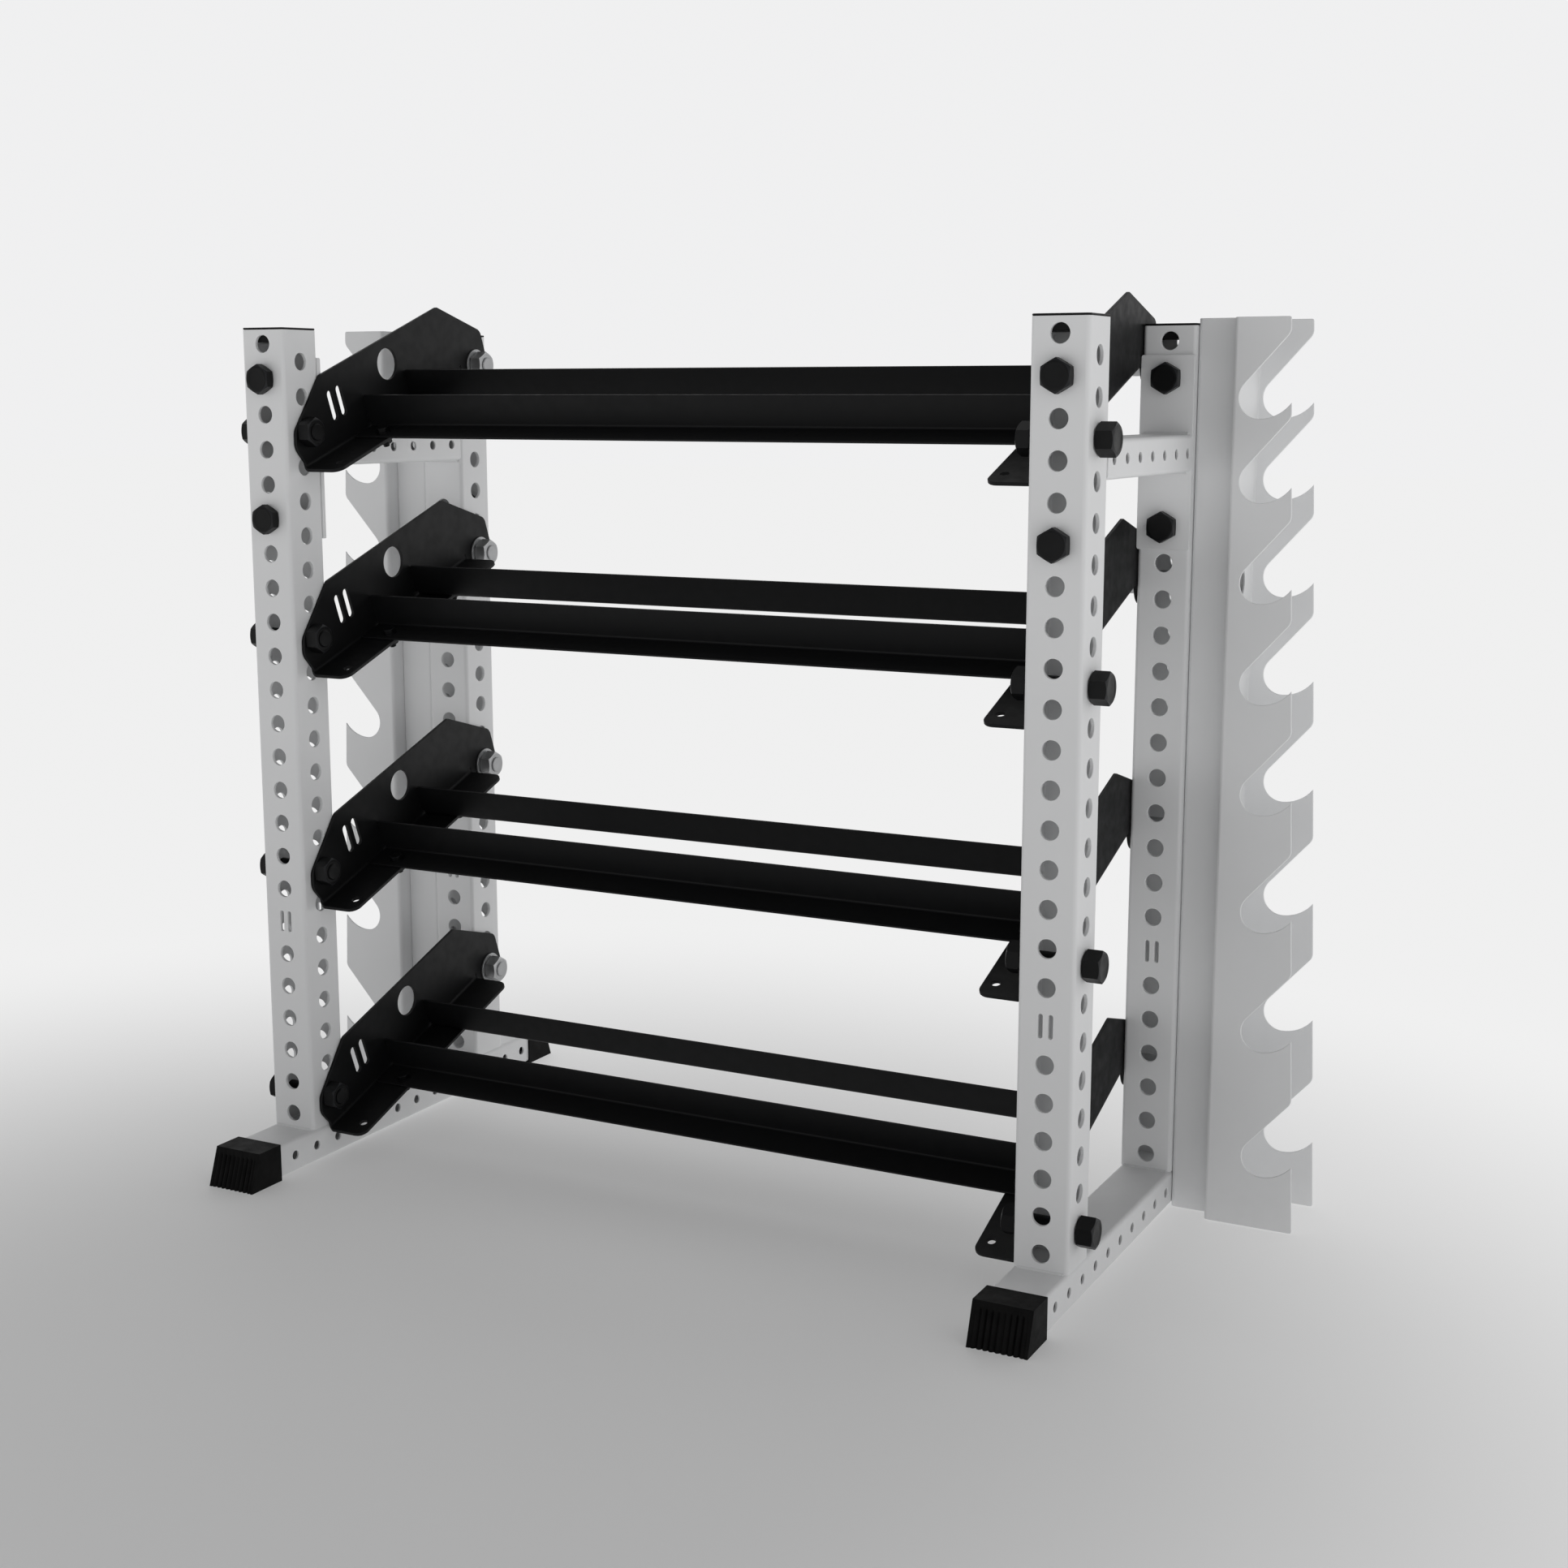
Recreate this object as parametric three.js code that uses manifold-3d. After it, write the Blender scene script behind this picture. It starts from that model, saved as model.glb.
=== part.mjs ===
// A four-tier dumbbell rack: two welded-base side frames joined by four sloped shelves, with a tall notched
// storage channel hung outboard of each rear upright. Millimetres, +Z up, +Y to the rear, standing on Z = 0,
// centred on X and Y. Pieces are made for the right-hand side (+X) and mirrored for the left.
import * as THREE from "three";
import { mergeVertices } from "three/addons/utils/BufferGeometryUtils.js";
import Module from "manifold-3d";

const wasm = await Module();
wasm.setup();

// Driving dimensions.
const GAP = 0.3; // clearance between pieces that touch
const RACK_WIDTH = 1306; // over the outer faces of the uprights
const FRAME_DEPTH = 507; // front face of the front uprights to rear face of the rear uprights
const TUBE = 76.2; // square upright tube
const TUBE_WALL = 4.8;
const TUBE_CORNER = 6; // outer corner radius of every tube
const HOLE_PITCH = 50.8; // spacing of the upright's holes
const HOLE_DIAMETER = 26;
const HOLE_SIDES = 12;

const BASE_BOTTOM = 3;
const BASE_HEIGHT = 50.8;
const BASE_OVERHANG = 120; // base tube past the uprights, front and rear
const UPRIGHT_TOP = 1265.6;
const CAP_THICKNESS = 2.7;
const CAP_PLUG_DEPTH = 18;

const TOP_FRONT_HOLE = 1245.3; // highest hole through the front and rear faces
const TOP_SIDE_HOLE = 1219.9; // highest hole through the side faces
const FRAME_BOLT_ROWS = [1, 5]; // rows below the top front hole that hold the crossmember
const SHELF_HOLE_ROWS = [2, 8, 15, 22]; // rows below the top side hole that hold each shelf's front bolt
const REAR_BOLT_RISE = 2 * HOLE_PITCH; // the rear shelf bolt sits two holes above the front one

const FLANGE_THICKNESS = 6.4;
const FLANGE_HEIGHT = 266.6;
const CROSS_HEIGHT = 50.8;
const CROSS_WALL = 3.2;
const CROSS_HOLE_DIAMETER = 14;
const CROSS_HOLE_COUNT = 7;

const BOLT_SHANK_DIAMETER = 24.6;
const HEX_ACROSS_FLATS = 38.1;
const FRAME_HEAD = 16;
const FRAME_NUT = 22;
const INNER_NUT = 16; // nut of a frame bolt that only holds one wall of the upright
const SHELF_HEAD = 25;
const SHELF_NUT = 22;
const WASHER_DIAMETER = 52;
const WASHER_THICKNESS = 3;

const SHELF_SLOPE = THREE.MathUtils.degToRad(20.3);
const BRACKET_THICKNESS = 5;
const BRACKET_BOTTOM = -52.5; // underside of the bracket, square to the slope and below the front bolt
const BRACKET_FLANGE_WIDTH = 70;
const BRACKET_FLANGE_FRONT = -26; // along the slope from the front bolt
const BRACKET_FLANGE_REAR = 398;
const LIGHTENING_HOLE = { along: 221, up: 26, radius: 24 };
const BRACKET_SLOTS = { along: [73, 95], up: 14, width: 12, length: 46 };
const TIE_HOLE = { along: 2, inset: 18, diameter: 12 }; // inset from the flange's free edge
const RAIL_THICKNESS = 3;
const RAIL_LEG = 50; // both legs of the angle
const RAIL_LIP_TOP = 3.8; // top of the standing leg, square to the slope and above the front bolt
const FRONT_RAIL_LIP = 147; // rear face of the front rail's standing leg, along the slope
const REAR_RAIL_LIP = 255; // front face of the rear rail's standing leg

const STORAGE_TOP = 1275;
const STORAGE_BOTTOM = 1;
const STORAGE_SHEET = 3;
const STORAGE_WIDTH = 123; // over the two notched sides, front to rear
const STORAGE_TOP_REACH = 76.5; // notched side, from the web outwards, at the top
const STORAGE_BOTTOM_REACH = 127.5;
const STANDOFF_WIDTH = 65;
const STANDOFF_DEPTH = 57.6;
const NOTCH_TIPS = [99, 282, 454, 620, 774, 912.5, 1049, 1161.5]; // heights of the eight hook tips
const NOTCH_SEAT_RADIUS = 28;
const NOTCH_FLOOR_RADIUS = 55;
const NOTCH_SEAT_INSET = 43.7; // lowest point of the seat, in from the outer edge
const NOTCH_ROOF_ANGLE = THREE.MathUtils.degToRad(48);
const NOTCH_CORNER = 15;
const ACCESS_HOLE_DIAMETER = 52;

const FOOT_WALL = 3;
const FOOT_TOP_FRONT = 128; // past the uprights
const FOOT_BOTTOM_FRONT = 148;
const FOOT_REAR = 80;

// Places that follow from them.
const HALF_DEPTH = FRAME_DEPTH / 2;
const OUTER_X = RACK_WIDTH / 2;
const INNER_X = OUTER_X - TUBE;
const UPRIGHT_X = OUTER_X - TUBE / 2;
const UPRIGHT_Y = HALF_DEPTH - TUBE / 2;
const BASE_TOP = BASE_BOTTOM + BASE_HEIGHT;
const frameBoltHeights = FRAME_BOLT_ROWS.map((row) => TOP_FRONT_HOLE - row * HOLE_PITCH);
const shelfHeights = SHELF_HOLE_ROWS.map((row) => TOP_SIDE_HOLE - row * HOLE_PITCH);
const crossCentre = (frameBoltHeights[0] + frameBoltHeights[1]) / 2;

const whiteCoat = { color: 0xe4e5e6, roughness: 0.55, metalness: 0.1 };
const blackCoat = { color: 0x17181a, roughness: 0.5, metalness: 0.2 };
const blackOxide = { color: 0x111214, roughness: 0.42, metalness: 0.6 };
const zincPlate = { color: 0xa9acae, roughness: 0.4, metalness: 0.8 };
const blackRubber = { color: 0x0e0e0f, roughness: 0.85, metalness: 0 };
const blackPlastic = { color: 0x101011, roughness: 0.6, metalness: 0 };

// Solid and geometry helpers.
function solid(geometry) {
  const bare = geometry.clone();
  bare.deleteAttribute("normal");
  bare.deleteAttribute("uv");
  const merged = mergeVertices(bare, 1e-4);
  const mesh = new wasm.Mesh({
    numProp: 3,
    vertProperties: merged.attributes.position.array,
    triVerts: new Uint32Array(merged.index.array),
  });
  return new wasm.Manifold(mesh);
}

function geometryOf(body) {
  const mesh = body.getMesh();
  const geometry = new THREE.BufferGeometry();
  geometry.setAttribute("position", new THREE.BufferAttribute(mesh.vertProperties, 3));
  geometry.setIndex(new THREE.BufferAttribute(mesh.triVerts, 1));
  return geometry;
}

function join(...geometries) {
  return geometries.map(solid).reduce((sum, next) => sum.add(next));
}

function cut(body, geometries) {
  return geometries.reduce((rest, tool) => rest.subtract(solid(tool)), body);
}

function box(x, y, z) {
  const geometry = new THREE.BoxGeometry(x[1] - x[0], y[1] - y[0], z[1] - z[0]);
  return geometry.translate((x[0] + x[1]) / 2, (y[0] + y[1]) / 2, (z[0] + z[1]) / 2);
}

// A rod or prism along the x or y axis, between the two ends, through the point given by the other two.
function rodX(radius, sides, x, y, z) {
  const geometry = new THREE.CylinderGeometry(radius, radius, x[1] - x[0], sides);
  return geometry.rotateZ(-Math.PI / 2).translate((x[0] + x[1]) / 2, y, z);
}

function rodY(radius, sides, x, y, z) {
  const geometry = new THREE.CylinderGeometry(radius, radius, y[1] - y[0], sides);
  return geometry.translate(x, (y[0] + y[1]) / 2, z);
}

// Points of an outline whose corners are [x, y, radius].
function roundedOutline(corners, steps) {
  const points = [];
  corners.forEach(([x, y, radius], i) => {
    const corner = new THREE.Vector2(x, y);
    if (!radius) {
      points.push(corner);
      return;
    }
    const [beforeX, beforeY] = corners.at(i - 1);
    const [afterX, afterY] = corners[(i + 1) % corners.length];
    const back = new THREE.Vector2(beforeX, beforeY).sub(corner).normalize();
    const on = new THREE.Vector2(afterX, afterY).sub(corner).normalize();
    const halfAngle = Math.acos(back.dot(on)) / 2;
    const inwards = back.clone().add(on).normalize();
    const centre = corner.clone().addScaledVector(inwards, radius / Math.sin(halfAngle));
    const reach = radius / Math.tan(halfAngle);
    const from = corner.clone().addScaledVector(back, reach).sub(centre);
    const to = corner.clone().addScaledVector(on, reach).sub(centre);
    const turn = Math.atan2(from.cross(to), from.dot(to));
    for (let step = 0; step <= steps; step += 1) {
      const arm = from.clone().rotateAround(new THREE.Vector2(), (turn * step) / steps);
      points.push(arm.add(centre));
    }
  });
  return points;
}

function circle(x, y, radius, sides) {
  return Array.from({ length: sides }, (_, i) => {
    const angle = (2 * Math.PI * i) / sides;
    return new THREE.Vector2(x + radius * Math.cos(angle), y + radius * Math.sin(angle));
  });
}

// A round-ended slot, upright, centred on (x, y).
function slot(x, y, width, length) {
  const radius = width / 2;
  const reach = length / 2 - radius;
  const end = (start, rise) =>
    [0, 1, 2, 3].map((step) => {
      const angle = start + (Math.PI * step) / 3;
      return new THREE.Vector2(x + radius * Math.cos(angle), y + rise + radius * Math.sin(angle));
    });
  return [...end(0, reach), ...end(Math.PI, -reach)];
}

function roundedRectangle(width, height, radius) {
  const x = width / 2;
  const y = height / 2;
  const corners = [[-x, -y, radius], [x, -y, radius], [x, y, radius], [-x, y, radius]];
  return roundedOutline(corners, 2);
}

function extrude(points, depth, holes = []) {
  const shape = new THREE.Shape(points);
  shape.holes = holes.map((hole) => new THREE.Path(hole));
  return new THREE.ExtrudeGeometry(shape, { depth, bevelEnabled: false });
}

// A rectangular tube standing on z = 0.
function tube(width, height, wall, length) {
  const outer = roundedRectangle(width, height, TUBE_CORNER);
  const bore = roundedRectangle(width - 2 * wall, height - 2 * wall, TUBE_CORNER - wall / 2);
  return extrude(outer, length, [bore]);
}

// Turns a shape drawn in (along the slope, square to the slope) and extruded in +Z so that it is
// extruded towards +X from x, with its origin at the given point.
function onSlope(geometry, x, y, z) {
  const frame = new THREE.Matrix4().makeBasis(
    new THREE.Vector3(0, Math.cos(SHELF_SLOPE), Math.sin(SHELF_SLOPE)),
    new THREE.Vector3(0, -Math.sin(SHELF_SLOPE), Math.cos(SHELF_SLOPE)),
    new THREE.Vector3(1, 0, 0),
  );
  return geometry.applyMatrix4(frame).translate(x, y, z);
}

// Sub-parts, all for the right-hand side.
function uprightBody(boltHeights) {
  const height = UPRIGHT_TOP - BASE_TOP - GAP;
  const blank = solid(tube(TUBE, TUBE, TUBE_WALL, height).translate(0, 0, BASE_TOP + GAP));
  const radius = HOLE_DIAMETER / 2;
  const past = [-TUBE / 2 - 1, TUBE / 2 + 1];
  const side = boltHeights.map((z) => rodX(radius, HOLE_SIDES, past, 0, z));
  const front = frameBoltHeights.map((z) => rodY(radius, HOLE_SIDES, 0, past, z));
  return geometryOf(cut(blank, [...side, ...front]));
}

function capBody() {
  const plate = extrude(roundedRectangle(TUBE, TUBE, TUBE_CORNER), CAP_THICKNESS);
  const inside = TUBE - 2 * TUBE_WALL - 2 * GAP;
  const plug = extrude(roundedRectangle(inside, inside, 3), CAP_PLUG_DEPTH + 1);
  return geometryOf(join(plate, plug.translate(0, 0, -CAP_PLUG_DEPTH)));
}

function baseBody() {
  const length = FRAME_DEPTH + 2 * BASE_OVERHANG;
  const lying = tube(TUBE, BASE_HEIGHT, CROSS_WALL, length).rotateX(Math.PI / 2);
  return lying.translate(0, length / 2, BASE_BOTTOM + BASE_HEIGHT / 2);
}

// A rubber boot pushed over the end of the base tube, for the front end, with its tube on x = 0.
function footBody() {
  const half = TUBE / 2 + FOOT_WALL;
  const top = BASE_TOP + FOOT_WALL;
  const profile = [
    new THREE.Vector2(-FOOT_REAR, 0),
    new THREE.Vector2(-FOOT_REAR, top),
    new THREE.Vector2(-FOOT_TOP_FRONT, top),
    new THREE.Vector2(-FOOT_BOTTOM_FRONT, 0),
  ];
  const blank = extrude(profile, 2 * half);
  const turned = new THREE.Matrix4().makeBasis(
    new THREE.Vector3(0, 1, 0),
    new THREE.Vector3(0, 0, 1),
    new THREE.Vector3(1, 0, 0),
  );
  const block = solid(blank.applyMatrix4(turned).translate(-half, 0, 0));
  const pocketHalf = TUBE / 2 + GAP;
  const pocket = box(
    [-pocketHalf, pocketHalf],
    [-BASE_OVERHANG - GAP, -FOOT_REAR + 1],
    [BASE_BOTTOM - GAP, BASE_TOP + GAP],
  );
  return geometryOf(cut(block, [pocket]).translate([0, -HALF_DEPTH, 0]));
}

// Beam between the two uprights of a side, with a tall bolted plate on its rear end only.
function crossmemberBody() {
  const length = FRAME_DEPTH - 2 * TUBE - 2 * GAP;
  const beam = tube(TUBE, CROSS_HEIGHT, CROSS_WALL, length - 1).rotateX(Math.PI / 2);
  const end = length / 2;
  const half = TUBE / 2;
  const plateDepth = [end - FLANGE_THICKNESS, end];
  const plate = box([-half, half], plateDepth, [-FLANGE_HEIGHT / 2, FLANGE_HEIGHT / 2]);
  const body = join(beam.translate(0, end - 1, 0), plate);
  const boltHoles = frameBoltHeights.map((z) =>
    rodY(HOLE_DIAMETER / 2, HOLE_SIDES, 0, [plateDepth[0] - 1, end + 1], z - crossCentre),
  );
  const sideHoles = Array.from({ length: CROSS_HOLE_COUNT }, (_, i) => {
    const y = (i - (CROSS_HOLE_COUNT - 1) / 2) * HOLE_PITCH;
    return rodX(CROSS_HOLE_DIAMETER / 2, 8, [-half - 1, half + 1], y, 0);
  });
  return geometryOf(cut(body, [...boltHoles, ...sideHoles]));
}

// A bolt along +x or +y: head, shank and nut in one piece, with the head's bearing face at 0 and the
// nut's bearing face, or its washer's, at the given grip.
function boltBody(rod, grip, head, nut, washers = []) {
  const hex = HEX_ACROSS_FLATS / Math.sqrt(3);
  const shank = rod(BOLT_SHANK_DIAMETER / 2, HOLE_SIDES, [-head / 2, grip + nut / 2]);
  return geometryOf(join(rod(hex, 6, [-head, 0]), shank, rod(hex, 6, [grip, grip + nut]), ...washers));
}

// Side bracket of a shelf. Its origin is the front bolt's axis where it meets the upright; the plate
// lies against the upright's inner face and its bottom edge is folded inwards, under the rails.
function bracketBody() {
  const rearAlong = 2 * UPRIGHT_Y * Math.cos(SHELF_SLOPE) + REAR_BOLT_RISE * Math.sin(SHELF_SLOPE);
  const rearUp = REAR_BOLT_RISE * Math.cos(SHELF_SLOPE) - 2 * UPRIGHT_Y * Math.sin(SHELF_SLOPE);
  const lobe = 30;
  const outline = roundedOutline(
    [
      [-12, BRACKET_BOTTOM, 12],
      [rearAlong - 1.25 * lobe, BRACKET_BOTTOM, 0],
      [rearAlong - 1.25 * lobe, rearUp - lobe, 22],
      [rearAlong + 1.15 * lobe, rearUp - lobe, 28],
      [rearAlong + 1.15 * lobe, -7, 16],
      [375.5, 65, 8],
      [62, 65, 8],
      [-20.5, 9, 18],
      [-29.5, -15, 22],
    ],
    3,
  );
  const { up, width, length } = BRACKET_SLOTS;
  const holes = [
    circle(0, 0, HOLE_DIAMETER / 2, HOLE_SIDES),
    circle(rearAlong, rearUp, HOLE_DIAMETER / 2, HOLE_SIDES),
    circle(LIGHTENING_HOLE.along, LIGHTENING_HOLE.up, LIGHTENING_HOLE.radius, 16),
    ...BRACKET_SLOTS.along.map((along) => slot(along, up, width, length)),
  ];
  const plate = extrude(outline, BRACKET_THICKNESS, holes).translate(0, 0, -BRACKET_THICKNESS);
  const flangeTop = BRACKET_BOTTOM + BRACKET_THICKNESS;
  const flangeOutline = roundedOutline(
    [
      [BRACKET_FLANGE_FRONT, -BRACKET_FLANGE_WIDTH, 16],
      [BRACKET_FLANGE_REAR, -BRACKET_FLANGE_WIDTH, 16],
      [BRACKET_FLANGE_REAR, -BRACKET_THICKNESS / 2, 0],
      [BRACKET_FLANGE_FRONT, -BRACKET_THICKNESS / 2, 0],
    ],
    3,
  );
  const tieHole = circle(TIE_HOLE.along, TIE_HOLE.inset - BRACKET_FLANGE_WIDTH, TIE_HOLE.diameter / 2, 8);
  const flange = extrude(flangeOutline, BRACKET_THICKNESS, [tieHole]);
  // Lay the flange's drawing plane (along, inwards) square to the plate.
  flange.rotateX(Math.PI / 2).translate(0, flangeTop, 0);
  return geometryOf(join(onSlope(plate, 0, 0, 0), onSlope(flange, 0, 0, 0)));
}

// An angle rail between the two brackets of a shelf; lip is where the standing leg's face is, and
// tray says which way (-1 towards the front, +1 towards the rear) the lying leg goes.
function railBody(lip, tray) {
  const bottom = BRACKET_BOTTOM + BRACKET_THICKNESS + GAP;
  const corners = [
    [0, bottom],
    [tray * RAIL_LEG, bottom],
    [tray * RAIL_LEG, bottom + RAIL_THICKNESS],
    [tray * RAIL_THICKNESS, bottom + RAIL_THICKNESS],
    [tray * RAIL_THICKNESS, RAIL_LIP_TOP],
    [0, RAIL_LIP_TOP],
  ];
  const profile = corners.map(([along, up]) => new THREE.Vector2(lip + along, up));
  const reach = INNER_X - BRACKET_THICKNESS - 2 * GAP;
  return onSlope(extrude(profile, 2 * reach), -reach, 0, 0);
}

// Outline of a notched side in (outwards from the web's inner face, up).
function notchedOutline() {
  const rise = STORAGE_TOP - STORAGE_BOTTOM;
  const edge = (z) =>
    STORAGE_TOP_REACH + ((STORAGE_BOTTOM_REACH - STORAGE_TOP_REACH) * (STORAGE_TOP - z)) / rise;
  const corners = [[0, STORAGE_BOTTOM, 0], [edge(STORAGE_BOTTOM), STORAGE_BOTTOM, 0]];
  const arc = (x, z, radius, from, to, steps) => {
    for (let step = 0; step <= steps; step += 1) {
      const angle = from + ((to - from) * step) / steps;
      corners.push([x + radius * Math.cos(angle), z + radius * Math.sin(angle), 0]);
    }
  };
  const down = -Math.PI / 2;
  const tipSwing = Math.asin(NOTCH_SEAT_INSET / NOTCH_FLOOR_RADIUS);
  const tipRise = NOTCH_FLOOR_RADIUS * (1 - Math.cos(tipSwing));
  NOTCH_TIPS.forEach((tip) => {
    const seatX = edge(tip) - NOTCH_SEAT_INSET;
    const floor = tip - tipRise;
    arc(seatX, floor + NOTCH_FLOOR_RADIUS, NOTCH_FLOOR_RADIUS, down + tipSwing, down, 4);
    const roofNormal = NOTCH_ROOF_ANGLE + Math.PI / 2;
    arc(seatX, floor + NOTCH_SEAT_RADIUS, NOTCH_SEAT_RADIUS, down - 0.3, roofNormal - 2 * Math.PI, 6);
    const [roofX, roofZ] = corners.at(-1);
    const shoulder = edge(tip + 90);
    corners.push([shoulder, roofZ + (shoulder - roofX) * Math.tan(NOTCH_ROOF_ANGLE), NOTCH_CORNER]);
  });
  corners.push([edge(STORAGE_TOP), STORAGE_TOP, 0], [0, STORAGE_TOP, 0]);
  return roundedOutline(corners, 3);
}

function storageBody() {
  const web = STANDOFF_DEPTH + 2 * GAP;
  const half = STORAGE_WIDTH / 2;
  const side = extrude(notchedOutline(), STORAGE_SHEET).rotateX(Math.PI / 2);
  const sides = [STORAGE_SHEET - half, half].map((y) => side.clone().translate(web, y, 0));
  const back = box([web, web + STORAGE_SHEET], [-half, half], [STORAGE_BOTTOM, STORAGE_TOP]);
  const access = shelfHeights.map((z) =>
    rodX(ACCESS_HOLE_DIAMETER / 2, 16, [web - 1, web + STORAGE_SHEET + 1], 0, z + REAR_BOLT_RISE),
  );
  return geometryOf(cut(join(back, ...sides), access));
}

// Open channel between the upright and the storage channel, legs pointing outboard.
function standoffBody() {
  const half = STANDOFF_WIDTH / 2;
  const z = [STORAGE_BOTTOM, STORAGE_TOP];
  const inner = GAP;
  const outer = STANDOFF_DEPTH + GAP;
  const sheet = STORAGE_SHEET;
  const body = join(
    box([inner, inner + sheet], [-half, half], z),
    box([inner, outer], [-half, sheet - half], z),
    box([inner, outer], [half - sheet, half], z),
  );
  const holes = shelfHeights.map((height) =>
    rodX(HOLE_DIAMETER / 2, HOLE_SIDES, [inner - 1, inner + sheet + 1], 0, height + REAR_BOLT_RISE),
  );
  return geometryOf(cut(body, holes));
}

// Assembly.
const rack = new THREE.Group();

function add(name, geometry, finish, position = [0, 0, 0], flip = [1, 1, 1]) {
  const mesh = new THREE.Mesh(geometry, new THREE.MeshStandardMaterial(finish));
  mesh.name = name;
  mesh.position.set(...position);
  mesh.scale.set(...flip);
  rack.add(mesh);
}

const rearBoltHeights = shelfHeights.map((z) => z + REAR_BOLT_RISE);
const rows = [
  { row: "front", y: -UPRIGHT_Y, mirror: 1, upright: uprightBody(shelfHeights) },
  { row: "rear", y: UPRIGHT_Y, mirror: -1, upright: uprightBody(rearBoltHeights) },
];
const hands = [
  { hand: "left", mirror: -1 },
  { hand: "right", mirror: 1 },
];

const cap = capBody();
const base = baseBody();
const foot = footBody();
const crossmember = crossmemberBody();
const crossmemberTurn = { left: [-1, -1, 1], right: [1, 1, 1] };
const bracket = bracketBody();
const storage = storageBody();
const standoff = standoffBody();
const alongY = (r, n, y) => rodY(r, n, 0, y, 0);
const plateGrip = TUBE + FLANGE_THICKNESS + 3 * GAP;
const plateBolt = boltBody(alongY, plateGrip, FRAME_HEAD, FRAME_NUT);
const wallBolt = boltBody(alongY, TUBE_WALL + 2 * GAP, FRAME_HEAD, INNER_NUT);
// Each place is where the bolt's head bears: the plate is on the front upright at the left and on the
// rear upright at the right, and the other two uprights take a short bolt through their outer wall.
const frameBolts = {
  front_left: { body: plateBolt, y: -HALF_DEPTH - GAP, turn: 1 },
  rear_left: { body: wallBolt, y: HALF_DEPTH + GAP, turn: -1 },
  front_right: { body: wallBolt, y: -HALF_DEPTH - GAP, turn: 1 },
  rear_right: { body: plateBolt, y: HALF_DEPTH + GAP - plateGrip, turn: 1 },
};
const alongX = (r, n, x) => rodX(r, n, x, 0, 0);
const frontGrip = TUBE + BRACKET_THICKNESS + 3 * GAP;
const rearGrip = frontGrip + STORAGE_SHEET + GAP;
const frontShelfBolt = boltBody(alongX, frontGrip, SHELF_HEAD, SHELF_NUT);
const washer = rodX(WASHER_DIAMETER / 2, 24, [rearGrip, rearGrip + WASHER_THICKNESS], 0, 0);
const rearShelfBolt = boltBody(alongX, rearGrip, SHELF_HEAD, SHELF_NUT + WASHER_THICKNESS, [washer]);

for (const { hand, mirror } of hands) {
  const flip = [mirror, 1, 1];
  for (const { row, y, mirror: rowMirror, upright } of rows) {
    add(`upright_${row}_${hand}`, upright, whiteCoat, [mirror * UPRIGHT_X, y, 0]);
    add(`upright_cap_${row}_${hand}`, cap, blackPlastic, [mirror * UPRIGHT_X, y, UPRIGHT_TOP + GAP]);
    add(`foot_${row}_${hand}`, foot, blackRubber, [mirror * UPRIGHT_X, 0, 0], [1, rowMirror, 1]);
    const bolt = frameBolts[`${row}_${hand}`];
    frameBoltHeights.forEach((z, i) => {
      const name = `frame_bolt_${row}_${hand}_${i === 0 ? "upper" : "lower"}`;
      add(name, bolt.body, blackOxide, [mirror * UPRIGHT_X, bolt.y, z], [1, bolt.turn, 1]);
    });
  }
  add(`base_tube_${hand}`, base, whiteCoat, [mirror * UPRIGHT_X, 0, 0]);
  const turn = crossmemberTurn[hand];
  add(`crossmember_${hand}`, crossmember, whiteCoat, [mirror * UPRIGHT_X, 0, crossCentre], turn);
  add(`storage_standoff_${hand}`, standoff, whiteCoat, [mirror * OUTER_X, UPRIGHT_Y, 0], flip);
  add(`storage_channel_${hand}`, storage, whiteCoat, [mirror * OUTER_X, UPRIGHT_Y, 0], flip);
}

shelfHeights.forEach((z, i) => {
  const shelf = `shelf_${i + 1}`;
  for (const { hand, mirror } of hands) {
    const flip = [mirror, 1, 1];
    const face = mirror * (INNER_X - GAP);
    add(`${shelf}_bracket_${hand}`, bracket, blackCoat, [face, -UPRIGHT_Y, z], flip);
    const inward = [-mirror, 1, 1];
    const frontBoltX = mirror * (OUTER_X + GAP);
    const rearBoltX = mirror * (OUTER_X + STORAGE_SHEET + 2 * GAP);
    add(`${shelf}_front_bolt_${hand}`, frontShelfBolt, blackOxide, [frontBoltX, -UPRIGHT_Y, z], inward);
    const rearPlace = [rearBoltX, UPRIGHT_Y, z + REAR_BOLT_RISE];
    add(`${shelf}_rear_bolt_${hand}`, rearShelfBolt, zincPlate, rearPlace, inward);
  }
  add(`${shelf}_rail_front`, railBody(FRONT_RAIL_LIP, -1), blackCoat, [0, -UPRIGHT_Y, z]);
  add(`${shelf}_rail_rear`, railBody(REAR_RAIL_LIP, 1), blackCoat, [0, -UPRIGHT_Y, z]);
});

export default rack;
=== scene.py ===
"""The looks of a four-tier dumbbell rack with side storage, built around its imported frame. Metres, +Z up."""

import math

import bmesh
import bpy
from mathutils import Matrix, Vector
from mathutils.geometry import tessellate_polygon


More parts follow.
